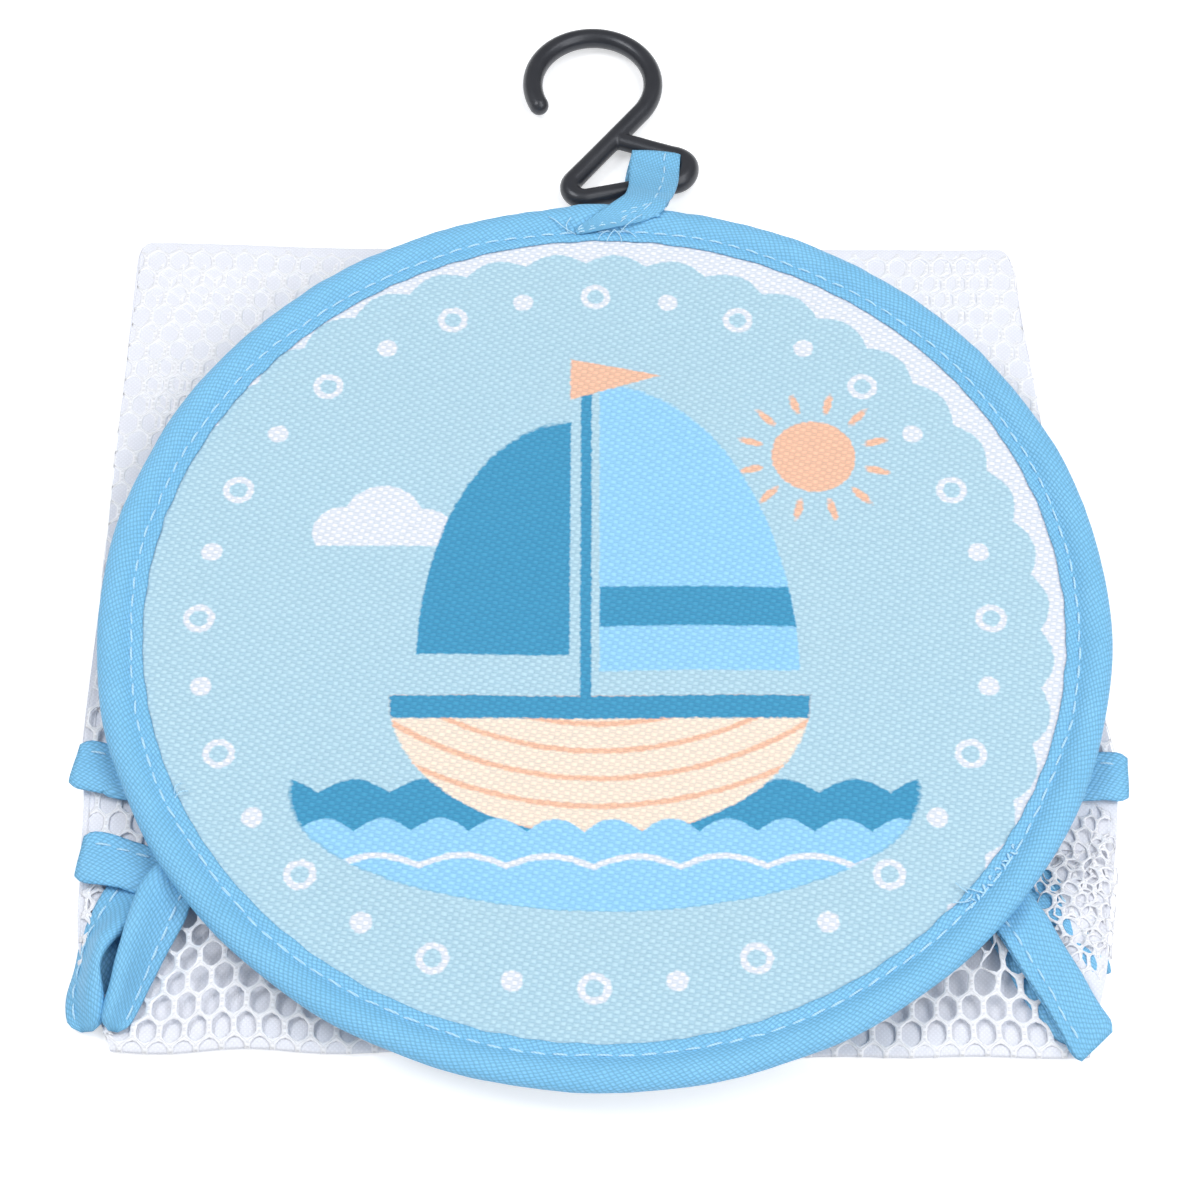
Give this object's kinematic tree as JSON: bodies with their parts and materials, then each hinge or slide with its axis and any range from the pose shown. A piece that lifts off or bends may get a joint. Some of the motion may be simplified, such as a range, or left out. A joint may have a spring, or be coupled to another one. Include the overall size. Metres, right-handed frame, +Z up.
{
  "type": "bath toy organizer",
  "caption": "Hanging bath toy organizer folded flat: a bound canvas disc on a spring hoop, a net bag with bound lips folded behind it, and a plastic hook on a ribbon loop.",
  "frame": {"origin": "on the surface the folded pack lies on, straight under the disc's centre", "axes": "+X to the right of the disc's face, +Y from the disc's centre towards the hook, +Z up out of the disc's face"},
  "size_m": [0.224, 0.2838, 0.0163],
  "materials": {
    "net": "white polyester hexagonal net",
    "tape": "sky blue woven polyester binding tape",
    "canvas": "printed plain-weave polyester canvas",
    "hoop_steel": "drawn spring steel",
    "hook_plastic": "charcoal moulded plastic, satin gloss"
  },
  "bodies": {
    "pouch": {"back_net": "net", "side_seam_left": "net", "side_seam_right": "net", "bottom_fold": "net", "top_fold": "net", "front_net": "net", "lower_lip_binding": "tape", "upper_lip_net": "net", "upper_lip_binding": "tape", "pocket_net_lower": "net", "pocket_binding_lower": "tape", "pocket_net_upper": "net", "pocket_binding_upper": "tape", "disc_seam": "tape"},
    "lower_bag": {"lower_bag_back": "net", "lower_bag_front": "net", "lower_bag_hem": "net"},
    "disc": {"face_panel": "canvas", "rim_binding": "tape", "hoop_wire": "hoop_steel", "hoop_sleeve": "hoop_steel", "loop_tail": "tape"},
    "loop": {"hanging_loop": "tape"},
    "hook": {"hook": "hook_plastic"}
  },
  "joints": [
    {"name": "bag_unfold", "type": "hinge", "parent": "pouch", "child": "lower_bag", "pos_m": [0, -0.0963, 0.00165], "axis": [-1, 0, 0], "range_deg": [0, 180]},
    {"name": "disc_lift", "type": "hinge", "parent": "pouch", "child": "disc", "pos_m": [0, 0.11, 0.01035], "axis": [-1, 0, 0], "range_deg": [0, 60]},
    {"name": "loop_flop", "type": "hinge", "parent": "disc", "child": "loop", "pos_m": [0.0107, 0.1112, 0.01285], "axis": [1, 0, 0], "range_deg": [0, 75]},
    {"name": "hook_swing", "type": "hinge", "parent": "loop", "child": "hook", "pos_m": [0.0107, 0.1247, 0.00375], "axis": [0.9744, 0.225, 0], "range_deg": [0, 90]}
  ]
}
